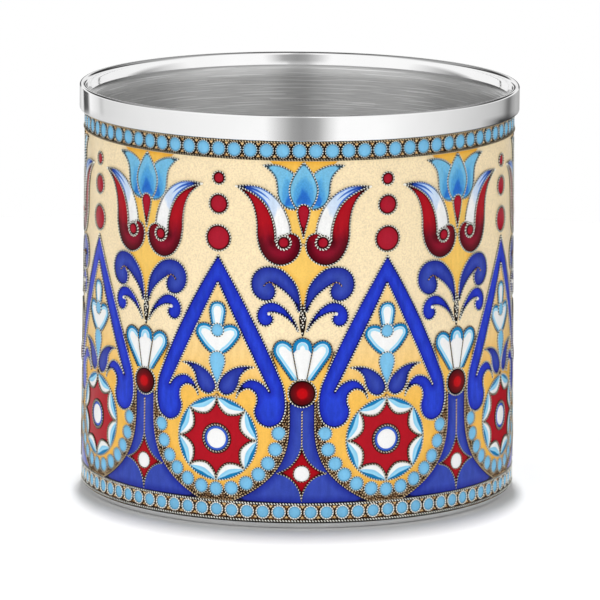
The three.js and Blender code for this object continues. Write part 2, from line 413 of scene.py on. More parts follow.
def at_lengths(line, where):
    """The points at some distances along a line."""
    at = lengths(line)
    return np.column_stack([np.interp(where, at, line[:, i]) for i in (0, 1)])


def smooth(*points):
    """A smooth run through a few points, or a straight one through two."""
    points = np.array(points, float)
    if len(points) == 2:
        count = max(1, round(np.linalg.norm(points[1] - points[0]) / EDGE_STEP))
        return points[0] + (points[1] - points[0]) * np.linspace(0, 1, count + 1)[:, None]
    at = lengths(points)
    slope = np.gradient(points, at, axis=0, edge_order=2)
    run = [points[:1]]
    for i, length in enumerate(np.diff(at)):
        t = np.linspace(0, 1, max(2, math.ceil(length / EDGE_STEP)) + 1)[1:, None]
        run.append(
            (1 + 2 * t) * (1 - t) ** 2 * points[i] + t * (1 - t) ** 2 * length * slope[i]
            + t**2 * (3 - 2 * t) * points[i + 1] + t**2 * (t - 1) * length * slope[i + 1]
        )
    return np.vstack(run)


def corners(*points):
    """Straight runs from corner to corner."""
    return joined(*(smooth(a, b) for a, b in zip(points, points[1:])))


def joined(*runs):
    """One line from several runs, without the points that they share."""
    line = np.vstack(runs)
    apart = np.linalg.norm(np.diff(line, axis=0), axis=1) > 1e-6
    return line[np.concatenate([[True], apart])]


def mirror(line):
    return np.asarray(line)[::-1] * (-1, 1)


def both(*lines):
    """Each line and its mirror image."""
    return [side for line in lines for side in (line, mirror(line))]


def symmetric(*runs):
    """A closed outline from its right half, which runs from the top of the axis to its foot."""
    half = joined(*runs)
    return joined(half, mirror(half))[:-1]


def circle(across, up, radius):
    count = max(20, round(2 * math.pi * radius / EDGE_STEP))
    turn = np.arange(count) * 2 * math.pi / count
    return np.column_stack([across + radius * np.sin(turn), up + radius * np.cos(turn)])


def spaced(line, shares):
    """The points at some shares of a line's length."""
    return at_lengths(line, np.asarray(shares) * lengths(line)[-1])


STROKE_START, STROKE_STEPS = 0.12, 16


def tapered(one, other, share, width, end):
    """A stroke between two lines, at a share of the way across, which narrows from its start to a point."""
    along = np.linspace(STROKE_START, end, STROKE_STEPS)
    lean = (width * (1 - np.linspace(0, 1, STROKE_STEPS) ** 2))[:, None]
    start, across = spaced(one, along), spaced(other, along) - spaced(one, along)
    sides = start + across * (share - lean), start + across * (share + lean)
    return joined(sides[0], sides[1][::-1])[:-1]


def pushed(points, centre, reach):
    """Points moved straight away from a centre."""
    away = points - np.asarray(centre)
    return points + away * reach / np.linalg.norm(away, axis=1)[:, None]


def distance(points, line, closed=False):
    """From each point to the nearest point of a line."""
    starts, ends = (line, np.roll(line, -1, axis=0)) if closed else (line[:-1], line[1:])
    along = ends - starts
    share = ((points[:, None] - starts) * along).sum(2) / np.maximum((along**2).sum(1), 1e-12)
    nearest = starts + np.clip(share, 0, 1)[..., None] * along
    return np.sqrt(((points[:, None] - nearest) ** 2).sum(2).min(1))


def from_lines(*lines, rate=1.0):
    """A shade for cells: the distance from the nearest of some lines, times a rate."""
    return lambda points: rate * np.min([distance(points, line) for line in lines], axis=0)


def between(start, end):
    """A shade for cells: from 0 on one line to 1 on the other."""
    def share(points):
        before, after = distance(points, start), distance(points, end)
        return before / np.maximum(before + after, 1e-9)
    return share


def within(points, outline):
    """Whether each point lies inside a closed outline."""
    x0, y0 = outline.T
    x1, y1 = np.roll(outline, -1, axis=0).T
    px, py = points[:, :1], points[:, 1:]
    crosses = (y0 > py) != (y1 > py)
    rise = np.where(y1 == y0, 1.0, y1 - y0)
    return (crosses & (px < x0 + (py - y0) * (x1 - x0) / rise)).sum(1) % 2 == 1


GRID_CLEARANCE = 0.45


def filled(outline, spacing=GRID):
    """(points, triangles) of a closed outline, with a grid of points inside it, clear of its edge."""
    low, high = outline.min(0), outline.max(0)
    rows = np.arange(low[1] + spacing / 2, high[1], spacing)
    grid = np.array([
        (x + (spacing / 2 if i % 2 else 0), z)
        for i, z in enumerate(rows) for x in np.arange(low[0], high[0], spacing)
    ]).reshape(-1, 2)
    grid = grid[within(grid, outline)]
    grid = grid[distance(grid, outline, True) > spacing * GRID_CLEARANCE]
    points = [Vector(p) for p in np.vstack([outline, grid])]
    made = delaunay_2d_cdt(points, [], [list(range(len(outline)))], 1, 1e-5)
    return np.array([tuple(v) for v in made[0]]), np.array(made[2])


def ring_quads(rings, sides, closed):
    """Quads between one ring of points and the next, and from the last to the first if closed."""
    low = np.arange(rings if closed else rings - 1)[:, None]
    high = (low + 1) % rings
    step, after = np.arange(sides), (np.arange(sides) + 1) % sides
    quads = low * sides + step, low * sides + after, high * sides + after, high * sides + step
    return np.stack(quads, -1).reshape(-1, 4)


GRANULE_RADIUS, GRANULE_SPACING = 0.2, 0.5
GRANULE_SHAKE = 0.12
GRANULE_SIZES = 0.7, 1.15
BEAD_RADIUS = 1.35
BEAD_CLEARANCE = 0.25
BEAD_DOME = {"swell": 0.25, "reach": 0.3}


class Piece:
    """One mesh in the making, in unrolled millimetres: across, up and out from the enamel face.
    It is wrapped round the cup in a number of copies, which lie turn panels on from the tulips' axes."""

    def __init__(self, copies=REPEATS, turn=0.0):
        self.copies, self.shift, self.parts = copies, turn * PITCH, []

    def add(self, points, triangles, shade, depth, material):
        self.parts.append((points + (self.shift, 0, 0), triangles, shade, depth, material))

    def cell(self, outline, material, level, swell=SWELL, reach=SWELL_REACH, shade=None):
        """A closed cushion of enamel on a panel outline. Its points carry their depth in from the outline,
        and the shade that its colours follow, which is the depth unless another is given."""
        flat, top = filled(outline)
        depth = distance(flat, outline, True)
        height = level + swell * (1 - np.exp(-depth / reach))
        count = len(flat)
        upper = np.column_stack([flat, height])
        under = np.column_stack([flat, np.full(count, CELL_BOTTOM)])
        edges = np.vstack([top[:, [0, 1]], top[:, [1, 2]], top[:, [2, 0]]]).tolist()
        paired = {tuple(edge) for edge in edges}
        a, b = np.array([edge for edge in edges if (edge[1], edge[0]) not in paired]).T
        walls = [np.column_stack([b, a, a + count]), np.column_stack([b, a + count, b + count])]
        triangles = np.vstack([top, *walls, top[:, ::-1] + count])
        painted = depth if shade is None else shade(flat)
        self.add(np.vstack([upper, under]), triangles, np.tile(painted, 2), np.tile(depth, 2), material)

    def rope(self, line, closed=False, radius=WIRE_RADIUS, lift=WIRE_LIFT, material="wire", twist=TWIST):
        """A twisted wire along a line: rings that swell and draw in, each leaning along the wire."""
        ends = np.vstack([line, line[:1]]) if closed else line
        length = lengths(ends)[-1]
        count = max(4, 2 * round(length / twist))
        middle = at_lengths(ends, np.linspace(0, length, count + (not closed), endpoint=not closed))
        around = np.vstack([middle[-1:], middle, middle[:1]])
        along = around[2:] - around[:-2] if closed else np.gradient(middle, axis=0)
        along /= np.linalg.norm(along, axis=1)[:, None]
        side = np.column_stack([along[:, 1], -along[:, 0]])
        crest = (np.arange(len(middle)) % 2).astype(float)
        size = radius * np.where(crest > 0, 1.0, GROOVE)
        turn = np.arange(WIRE_SIDES) * 2 * math.pi / WIRE_SIDES
        flat = (
            middle[:, None] + side[:, None] * (size[:, None] * np.sin(turn))[..., None]
            + along[:, None] * (SLANT * radius * np.sin(turn))[None, :, None]
        )
        out = lift + size[:, None] * np.cos(turn)
        points = np.concatenate([flat, out[..., None]], axis=2).reshape(-1, 3)
        quads = ring_quads(len(middle), WIRE_SIDES, closed)
        triangles = [quads[:, [0, 2, 1]], quads[:, [0, 3, 2]]]
        if not closed:
            fan = np.arange(1, WIRE_SIDES - 1)
            cap = np.column_stack([np.zeros_like(fan), fan, fan + 1])
            triangles += [cap, cap[:, ::-1] + (len(middle) - 1) * WIRE_SIDES]
        # Crests carry shade 1 and grooves 0, which the wire colours paint as highlights and shade
        shade = np.repeat(crest, WIRE_SIDES)
        self.add(points, np.vstack(triangles), shade, shade, material)

    def ropes(self, *lines, **settings):
        for line in lines:
            self.rope(line, **settings)

    def ring(self, across, up, reach, **settings):
        """A twisted wire round a circle."""
        self.rope(circle(across, up, reach), closed=True, **settings)

    def ball(self, across, up, radius, out=FILIGREE_LEVEL, material="granule"):
        """A small granule, painted bright on top as a highlight and dark underneath as shade."""
        rows, sides = 4, 6
        lean = np.linspace(0, math.pi, rows + 1)[1:-1]
        spin = np.arange(sides) * 2 * math.pi / sides
        shell = np.stack([
            np.outer(np.sin(lean), np.sin(spin)), np.outer(np.sin(lean), np.cos(spin)),
            np.outer(np.cos(lean), np.ones(sides)),
        ], -1).reshape(-1, 3)
        points = np.vstack([[(0, 0, 1)], shell, [(0, 0, -1)]])
        step, after = 1 + np.arange(sides), 1 + (np.arange(sides) + 1) % sides
        top, last = np.zeros(sides, int), (rows - 2) * sides
        triangles = [np.column_stack([top, after, step])]
        for row in range(0, last, sides):
            a, b = step + row, after + row
            triangles += [np.column_stack([a, b, b + sides]), np.column_stack([a, b + sides, a + sides])]
        triangles.append(np.column_stack([step + last, after + last, top + len(points) - 1]))
        # Its shade runs from 0 underneath to 1 on top: painted shade and highlight
        shade = (points[:, 2] + 1) / 2
        self.add(points * radius + (across, up, out), np.vstack(triangles), shade, shade, material)

    def granules(self, outline, level, beads=(), material="granule"):
        """Small granules, a little uneven, over a panel outline, clear of the beads at some places."""
        chance = np.random.default_rng(len(outline))
        spots = filled(outline, GRANULE_SPACING)[0][len(outline):]
        spots += chance.uniform(-GRANULE_SHAKE, GRANULE_SHAKE, spots.shape)
        for bead in beads:
            spots = spots[np.linalg.norm(spots - bead, axis=1) > BEAD_RADIUS + BEAD_CLEARANCE]
        for across, up in spots:
            self.ball(across, up, GRANULE_RADIUS * chance.uniform(*GRANULE_SIZES), level, material)

    def object(self, name, slot, *nodes):
        """Wraps the piece round the cup and makes it a Blender object, with its copies side by side in UV."""
        places, faces, shades, depths, materials = zip(*self.parts)
        points, triangles = stacked(list(zip(places, faces)))
        measures = {"shade": np.concatenate(shades), "depth": np.concatenate(depths)}
        names = list(dict.fromkeys(materials))
        slots = np.repeat([names.index(material) for material in materials], [len(part) for part in faces])
        flat = points[:, :2]
        size = np.ptp(flat, axis=0)
        flat = (flat - flat.min(0)) / size
        columns = max(1, round(math.sqrt(self.copies * size[1] / size[0])))
        rows = math.ceil(self.copies / columns)
        wrapped, uv = [], []
        for copy in range(self.copies):
            angle = points[:, 0] / PANEL_RADIUS + 2 * math.pi * copy / self.copies
            radius = face_radius(points[:, 1]) + points[:, 2]
            around = np.column_stack([radius * np.sin(angle), -radius * np.cos(angle), points[:, 1]])
            wrapped.append((around, triangles))
            uv.append((flat + (copy % columns, copy // columns)) / (columns, rows))
        made_object(
            name, slot, nodes, *stacked(wrapped), names, np.tile(slots, self.copies),
            {key: np.tile(values, self.copies) for key, values in measures.items()}, np.vstack(uv),
        )


def stacked(meshes):
    """Several (points, faces) as one."""
    starts = np.cumsum([0] + [len(points) for points, _ in meshes[:-1]])
    faces = [faces + start for (_, faces), start in zip(meshes, starts)]
    return np.vstack([points for points, _ in meshes]), np.vstack(faces)


def linked(name, data):
    """A new Blender object in the scene."""
    obj = bpy.data.objects.new(name, data)
    bpy.context.scene.collection.objects.link(obj)
    return obj


SHARP_ANGLE = 50


def made_object(name, slot, nodes, points, faces, materials, slots=None, measures=None, uv=None):
    """A smooth Blender object that rides on the cup, from millimetre points and triangles or quads."""
    mesh = bpy.data.meshes.new(name)
    mesh.from_pydata(points * MM, [], faces, shade_flat=False)
    if slots is not None:
        mesh.polygons.foreach_set("material_index", slots.astype(np.int32))
    for material in materials:
        mesh.materials.append(MATERIALS[material])
    for key, values in (measures or {}).items():
        mesh.attributes.new(key, "FLOAT", "POINT").data.foreach_set("value", values)
    if uv is not None:
        mesh.uv_layers.new(name="OFBake").data.foreach_set("uv", uv[faces.ravel()].ravel())
    mesh.set_sharp_from_angle(angle=math.radians(SHARP_ANGLE))
    obj = linked(name, mesh)
    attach(obj, "root")
    if nodes:
        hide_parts(*nodes)
    return obj


def numbered(name):
    return [f"{name}_{i + 1}" for i in range(REPEATS)]


# Turned steel parts and the ground coat

TURNED_SEGMENTS = 256
ARC_STEPS = 8
LIP_INNER = RIM_RADIUS - LIP_THICKNESS
MOUTH_INNER, BAND_LOW = LIP_INNER - LIP_LEAN, HEIGHT - LIP_BAND

# Inside this radius, liner and base are plain discs
DISC_RADIUS = 1


def arc(across, up, radius, start, end):
    turn = np.radians(np.linspace(start, end, ARC_STEPS + 1))
    return np.column_stack([across + radius * np.cos(turn), up + radius * np.sin(turn)])


def turned(name, slot, node, profile, material, closed=True):
    """A part of revolution from its section, which closes on itself, or is flat across both ends."""
    angle = np.arange(TURNED_SEGMENTS) * 2 * math.pi / TURNED_SEGMENTS
    radius, up = profile[:, :1], np.broadcast_to(profile[:, 1:], (len(profile), TURNED_SEGMENTS))
    points = np.stack([radius * np.sin(angle), -radius * np.cos(angle), up], -1).reshape(-1, 3)
    quads = ring_quads(len(profile), TURNED_SEGMENTS, closed)
    obj = made_object(name, slot, [node], points, quads, [material])
    if not closed:
        shape = bmesh.new()
        shape.from_mesh(obj.data)
        bmesh.ops.holes_fill(shape, edges=[edge for edge in shape.edges if edge.is_boundary], sides=0)
        shape.to_mesh(obj.data)
        shape.free()


def make_collar():
    skirt_inner = MOUTH_OUTER + SEAT_GAP
    section = joined(
        [(skirt_inner, COLLAR_LOW)],
        arc(RIM_RADIUS - COLLAR_EDGE, COLLAR_LOW + COLLAR_EDGE, COLLAR_EDGE, -90, 0),
        arc(RIM_RADIUS - LIP_ROUNDING, HEIGHT - LIP_ROUNDING, LIP_ROUNDING, 0, 90),
        smooth(
            (RIM_RADIUS - LIP_ROUNDING - 0.15, HEIGHT), (LIP_INNER + 0.35, HEIGHT - 0.3),
            (LIP_INNER + 0.2, HEIGHT - 1), (MOUTH_INNER, BAND_LOW),
        ),
        [(skirt_inner, BAND_LOW)],
    )
    turned("collar", "polished_steel", "rim_collar", section, "polished")


def make_liner():
    outer = face_radius(ground_high[2]) - SLEEVE_BUILD
    inner = outer - LINER_WALL
    mouth_low, floor_top = ground_high[2] + SEAT_GAP, LINER_LOW + LINER_FLOOR
    outer_corner = LINER_CORNER + LINER_WALL
    flare = smooth(
        (MOUTH_INNER, BAND_LOW), (LIP_INNER - 0.8, BAND_LOW - 0.35), (inner + 0.25, BAND_LOW - 1.1),
        (inner, mouth_low),
    )
    section = joined(
        [(DISC_RADIUS, LINER_LOW)],
        arc(outer - outer_corner, LINER_LOW + outer_corner, outer_corner, -90, 0),
        [(outer, mouth_low), (MOUTH_OUTER, MOUTH_HIGH), (MOUTH_OUTER, BAND_LOW)], flare,
        arc(inner - LINER_CORNER, floor_top + LINER_CORNER, LINER_CORNER, 0, -90),
        [(DISC_RADIUS, floor_top)],
    )
    turned("liner", "brushed_steel", "liner_cup", section, "brushed", closed=False)


def make_foot():
    outer = FOOT_SHOULDER - FOOT_DRAW_IN
    inner = outer - FOOT_WIDTH
    side = smooth((outer, 0), (outer + 0.8, 0.2), (FOOT_SHOULDER - 0.25, 0.6), (FOOT_SHOULDER, FOOT_HEIGHT))
    section = joined([(inner, 0)], side, [(inner, FOOT_HEIGHT)])
    turned("foot", "polished_steel", "foot_ring", section, "foot")


def make_base():
    low, high, radius = plate_low[2], plate_high[2], plate_high[0]
    section = np.array([(DISC_RADIUS, low), (radius, low), (radius, high), (DISC_RADIUS, high)])
    turned("base", "brushed_steel", "base_plate", section, "brushed", closed=False)


def make_sleeve():
    coat = (
        (ground_low[2], GROUND_BOTTOM), (ground_low[2], CELL_BOTTOM), (FIELD_LOW, CELL_BOTTOM),
        (FIELD_LOW, GROUND_LEVEL), (FIELD_HIGH, GROUND_LEVEL), (FIELD_HIGH, CELL_BOTTOM),
        (ground_high[2], CELL_BOTTOM), (ground_high[2], GROUND_BOTTOM),
    )
    section = np.array([(face_radius(z) + level, z) for z, level in coat])
    turned("ground_coat", "cream_enamel", "ground_enamel", section, "cream")
    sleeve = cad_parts["sleeve"].data
    sleeve.materials.clear()
    sleeve.materials.append(MATERIALS["gilt"])


# The motifs on the tulip's axis, and their wires

def make_tulip(wires):
    petal = smooth(
        (0, 72.6), (1.25, 71.1), (2.2, 69.45), (2.8, 67.5), (2.65, 65.9), (2.1, 64.5), (1.35, 63.5),
    )
    leaf_top = smooth((1.75, 70.2), (3.1, 71.25), (5.2, 72), (8.05, 71.9))
    leaf_side = smooth(
        (8.05, 71.9), (6.6, 70.8), (5.6, 69.5), (5.25, 67.9), (5.1, 66.2), (4.5, 64.6), (3.4, 63.65),
        (1.65, 63.25),
    )
    leaf = joined(leaf_top, leaf_side, corners((1.65, 63.25), (1, 63.6), (1, 70), (1.75, 70.2)))[:-1]
    leaf_heart = corners((2.6, 65.6), (1.9, 63.8), (3.5, 64.2), (2.6, 65.6))
    petal_heart = corners((0, 66.3), (-1.8, 64.1), (1.8, 64.1), (0, 66.3), (0, 64.5))
    tulips = Piece()
    for outline, edge, heart in zip(both(leaf), both(joined(leaf_top, leaf_side)), both(leaf_heart)):
        tulips.cell(outline, "tulip", CELL_LEVEL, shade=between(edge, heart))
    middle = symmetric(petal, smooth((1.35, 63.5), (0, 63.5)))
    petal_edge = joined(petal[::-1], mirror(petal)[::-1])
    tulips.cell(middle, "tulip", INLAY_LEVEL, shade=between(petal_edge, petal_heart))
    tulips.object("tulips", "pale_blue_enamel", *numbered("tulip"))
    wires.ropes(*both(petal, leaf_top, leaf_side))

    drop = symmetric(smooth((0, 64.4), (0.9, 64), (1.25, 63.2), (1.1, 62), (0.5, 59.6), (0, 57.6)))
    drops = Piece()
    drops.cell(drop, "red", DOT_LEVEL)
    drops.object("red_drops", "red_enamel")
    wires.rope(drop, closed=True)


def make_volutes(wires):
    tip, eye, hook, inlet = (13.4, 67.6), (3.83, 56.85), (3.6, 58.4), (5.5, 57)
    top = smooth(
        (2.4, 58.7), (2.5, 59.6), (3.25, 62.2), (4.7, 64.8), (6.6, 66.6), (8.8, 67.65), (11, 67.9), tip,
    )
    under = smooth(
        tip, (11.9, 66.5), (10.6, 65.15), (9.65, 63.1), (9.2, 60.6), (9.1, 57.8), (8.4, 55.2),
        (6.95, 53.25), (4.7, 52.3), (2.4, 52.9), (0.85, 54.6), (0.45, 56.4), (1.05, 58.1), (2.6, 58.72), hook,
    )
    divide = smooth(tip, (9.6, 66.1), (7.9, 64.7), (6.6, 62.7), (5.8, 60.3), inlet)
    red = joined(under, corners(hook, eye, inlet), divide[::-1])[:-1]
    white = joined(top, divide, corners(inlet, eye, (2.4, 58.7)))[:-1]
    streaks = [
        tapered(top[::-1], divide, share, width, end)
        for share, width, end in ((0.1, 0.1, 0.52), (0.48, 0.13, 0.5), (0.84, 0.12, 0.58))
    ]
    volutes = Piece()
    for outline in both(red):
        volutes.cell(outline, "horn_red", CELL_LEVEL)
    for side in (1, -1):
        flip = mirror if side < 0 else np.asarray
        from_tip = from_lines(np.array([tip, tip]) * (side, 1))
        volutes.cell(flip(white), "horn_white", CELL_LEVEL, shade=from_tip)
        for streak in streaks:
            volutes.cell(flip(streak), "horn_streak", STREAK_LEVEL, swell=0.02, shade=from_tip)
        volutes.cell(circle(side * eye[0], eye[1], 1.15), "red", DOT_LEVEL, swell=0.2)
        wires.ring(side * eye[0], eye[1], 1.4, radius=0.26, lift=-0.08)
        wires.ball(side * tip[0], tip[1], 0.28, out=-0.08, material="ring")
    volutes.object("volutes", "red_enamel", *numbered("volutes"))
    wires.ropes(*both(top, under, divide))
    wires.ball(0, 56.4, 0.36, out=-0.2)


def make_scrolls(wires):
    upper = joined(
        smooth(
            (0.35, 43.2), (0.5, 45.8), (1.15, 48.2), (2.6, 50.25), (4.4, 51.65), (6.4, 52.1), (8.3, 51.75),
            (9.7, 50.5), (10.25, 48.5), (9.8, 46.8), (8.7, 45.65), (7.3, 45.2), (5.95, 45.6), (5.3, 46.9),
            (5.55, 48.2),
        ),
        smooth((5.75, 48.6), (4.9, 48.1), (2.8, 46.4), (1.6, 44.8), (1, 43.2)),
    )
    lower = joined(
        smooth(
            (0.75, 39.3), (1.2, 40.7), (2.1, 42.3), (3.6, 44), (5.1, 44.95), (6.4, 45.1), (7.9, 44.5),
            (8.9, 43.1), (8.9, 41.5), (8.1, 40.45), (7, 40.25), (6.05, 40.85), (5.7, 41.8), (6.1, 42.5),
        ),
        smooth((6.5, 42.95), (5.3, 42.95), (3.9, 42.4), (2.5, 41.35), (1.4, 40.05), (0.95, 39.3)),
    )
    scrolls = Piece()
    for outline, material in ((upper, "mid_blue"), (lower, "deep_blue")):
        for side in both(outline):
            scrolls.cell(side, material, CELL_LEVEL)
            wires.rope(side, closed=True)
    for side in (-1, 1):
        wires.ball(side * 6.6, 42.75, 0.38, out=-0.1, material="ring")
        wires.ball(side * 5.75, 48.5, 0.26, out=-0.05)
    scrolls.object("scrolls", "mid_blue_enamel", *numbered("scrolls"))
    curl = smooth((5.7, 48.6), (6.5, 49), (7.7, 48.1))
    wires.ropes(*both(curl), radius=0.16, lift=0.0, material="granule")
    stalk = symmetric(corners((0, 45), (0.25, 44), (0.75, 42), (0.6, 40.5), (0.2, 38.6), (0, 38.3)))
    wires.cell(stalk, "border", CELL_LEVEL)
    wires.granules(stalk, CELL_LEVEL, material="ring")


def make_shell(wires):
    lobe_foot, side_foot = (0.8, 29.6), (2.15, 29.6)
    lobe_top = smooth((0, 38.15), (1.35, 37.6), (1.98, 36.4), (1.9, 35.2))
    lobe_edge = joined(lobe_top, smooth(lobe_top[-1], lobe_foot))
    side_top = smooth((1.95, 36.5), (2.95, 37.35), (4.1, 37.6), (5.3, 37), (5.8, 35.85), (5.4, 34.2))
    side_edge = joined(side_top, smooth(side_top[-1], side_foot))
    side_lobe = joined(side_edge, corners(side_foot, lobe_foot, (1.2, 34), (1.95, 36.5)))[:-1]
    dome_top = smooth((0, 36.2), (0.8, 35.95), (1.35, 35.5), (1.7, 35))
    dome = symmetric(dome_top, corners(dome_top[-1], (0.72, 29.7), (0, 29.7)))
    shells = Piece()
    for outline, edge in zip(both(side_lobe), both(side_edge)):
        shells.cell(outline, "banded", CELL_LEVEL, shade=from_lines(edge))
    lobe = symmetric(lobe_edge, smooth(lobe_foot, (0, 29.6)))
    shells.cell(lobe, "banded", INLAY_LEVEL, shade=from_lines(*both(lobe_top), rate=0.8))
    shells.cell(dome, "white", DOT_LEVEL, swell=0.05)
    shells.object("shells", "white_enamel")
    wires.ropes(*both(lobe_edge, side_edge), material="dark_wire")
    wires.ropes(*both(smooth((6.2, 35.4), (5.7, 33.7), (4.9, 32))), material="granule")
    beads = Piece()
    beads.cell(circle(0, 27.1, 2.55), "cabochon", DOT_LEVEL, swell=0.3, reach=1.0)
    beads.object("red_beads", "red_enamel")
    wires.ring(0, 27.1, 2.75)


STEM_SIDE = smooth(
    (2.6, 25.4), (2.55, 22.5), (2.6, 19.5), (3.3, 15.4), (4.2, 13.2), (5.6, 11.1), (7.6, 9.1), (10.6, 6.95),
    (13.8, 5.3),
)


def make_stem(wires):
    outline = symmetric(smooth((0, 24.7), (2.6, 25.4)), STEM_SIDE, smooth((13.8, 5.3), (0, 5.1)))
    star = symmetric(
        smooth((0, 16.9), (0.75, 14.5), (2.1, 12.7), (4.95, 11.15)),
        smooth((4.95, 11.15), (2.3, 10.15), (0.85, 8.5), (0, 5.7)),
    )
    stems = Piece()
    stems.cell(outline, "mid_blue", CELL_LEVEL)
    stems.cell(star, "star", INLAY_LEVEL)
    stems.cell(circle(0, 11.15, 1.55), "white", DOT_LEVEL, swell=0.15)
    stems.object("stems", "mid_blue_enamel", *numbered("stem"))
    wires.ropes(*both(STEM_SIDE), smooth((0, 23.7), (0, 16.9)), material="gilt_wire")
    wires.rope(star, closed=True, material="dull_wire")
    wires.ring(0, 11.15, 1.62, radius=0.12, lift=0.06, material="dark_wire")


# The motifs on the chevron's axis, half a panel further round

HALF_TURN = 0.5
ROSETTE_UP = 17.5
DARK_LINE_OFFSET = 0.24


def make_chevron(wires):
    outside = smooth((0, 53.9), (8, 40), (13.2, 28.9))
    foot = smooth(
        (13.2, 28.9), (13.8, 25.4), (13.7, 23.4), (12.7, 21.1), (10.5, 20.2), (8.45, 21.15), (7.6, 23.6),
        (8.1, 25.3), (7.9, 26.7), (6.5, 27.7), (4.8, 27), (4, 25.6),
    )
    hook = smooth((4, 25.6), (4.95, 28.4), (6.75, 29.6), (8.7, 29.2), (10.6, 27.3))
    inside = smooth((10.6, 27.3), (0, 48.5))
    chevrons = Piece(turn=HALF_TURN)
    chevrons.cell(symmetric(outside, foot, hook, inside), "deep_blue", CELL_LEVEL)
    chevrons.object("chevrons", "deep_blue_enamel", *numbered("chevron"))
    wires.ropes(*both(joined(outside, foot, hook)), joined(inside, mirror(inside)))


def make_heart(wires):
    finger_edge = smooth((0, 44.7), (1.25, 44.25), (1.75, 43.1), (1.6, 41.6), (1.3, 40))
    heart_edge = smooth((1.3, 39.9), (2.9, 40.3), (4.35, 39.7), (4.75, 38.4), (3.7, 36.5), (1.5, 34.4))
    heart = symmetric(smooth((0, 39.9), (1.3, 39.9)), heart_edge, smooth((1.5, 34.4), (0, 34.4)))
    finger = symmetric(finger_edge, smooth((1.3, 40), (0, 40)))
    drop = symmetric(smooth((0, 34.8), (1.15, 34.4), (1.65, 33.1), (1.3, 31.4), (0.55, 29.4), (0, 28.1)))
    leaf = smooth(
        (7.7, 32), (4.8, 32.1), (2.3, 31), (0.5, 29), (0.2, 27.5), (1.6, 26.2), (3.4, 26.8), (4.3, 28.1),
        (4.9, 30.2), (6.2, 31.5), (7.7, 32),
    )[:-1]
    hearts = Piece(turn=HALF_TURN)
    hearts.cell(heart, "banded", CELL_LEVEL, shade=from_lines(*both(heart_edge)))
    hearts.cell(finger, "banded", INLAY_LEVEL, shade=from_lines(*both(finger_edge), rate=1.3))
    hearts.cell(circle(0, 39, 1.25), "bead", DOT_LEVEL)
    hearts.cell(drop, "bead", INLAY_LEVEL)
    for outline in both(leaf):
        hearts.cell(outline, "mid_blue", CELL_LEVEL)
        wires.rope(outline, closed=True)
    hearts.object("hearts_and_leaves", "white_enamel")
    wires.ropes(*both(finger_edge, heart_edge), material="dull_wire")
    wires.ropes(circle(0, 39, 1.33), drop, closed=True)
    for across, up, radius in ((0, 26.1, 0.4), (-0.5, 25.75, 0.25), (0.5, 25.75, 0.25), (0, 27, 0.25)):
        wires.ball(across, up, radius, out=-0.1)


def make_rosette(wires):
    radius, points, bulge = 8.3, 8, 5.45
    spacing = 2 * math.pi / points

    def at(reach, turn):
        return reach * math.sin(turn), ROSETTE_UP + reach * math.cos(turn)

    rim = circle(0, ROSETTE_UP, radius)
    rosettes = Piece(turn=HALF_TURN)
    rosettes.cell(rim, "rosette", CELL_LEVEL)
    for point in range(points):
        start, end = point * spacing, (point + 1) * spacing
        outer = np.array([at(radius, turn) for turn in np.linspace(start, end, 20)])
        quarters = [at(bulge + 0.6, turn) for turn in (end - 0.2 * spacing, start + 0.2 * spacing)]
        inner = smooth(outer[-1], quarters[0], at(bulge, start + spacing / 2), quarters[1], outer[0])
        rosettes.cell(joined(outer, inner)[:-1], "petal", INLAY_LEVEL, shade=between(outer, inner))
        wires.rope(inner, radius=0.17, lift=0.02, material="dull_wire")
        # A thin dark line beside each petal's wire, on the red side
        joint = pushed(inner[3:-3], at(bulge + 1.6, start + spacing / 2), DARK_LINE_OFFSET)
        wires.rope(joint, radius=0.13, lift=-0.06, material="joint")
    rosettes.cell(circle(0, ROSETTE_UP, 2.65), "ring_blue", INLAY_LEVEL)
    rosettes.cell(circle(0, ROSETTE_UP, 1.95), "white", DOT_LEVEL, swell=0.12)
    rosettes.object("rosettes", "red_enamel", *numbered("rosette"))
    wires.rope(rim, closed=True)
    wires.ring(0, ROSETTE_UP, 2.7, radius=0.2, material="dull_wire")
    wires.ring(0, ROSETTE_UP, 2.98, radius=0.14, lift=-0.06, material="joint")


def make_red_dots(wires):
    dots = Piece(turn=HALF_TURN)
    for up, radius in ((69, 1.17), (63.9, 1.86), (57.2, 2.45)):
        dots.cell(circle(0, up, radius), "red", CELL_LEVEL, swell=0.3, reach=0.8)
        wires.ring(0, up, radius + 0.15)
    dots.object("red_dots", "red_enamel")


# Grounds of a second colour, and the bead rows that edge the rosettes

CRESCENT_BEADS = ((12.5, 19.1), (11.85, 15.9), (10.45, 13.05), (8.6, 10.8), (6.15, 8.95), (3.15, 7.8))
CRESCENT_FOOT = (0, 7.45)


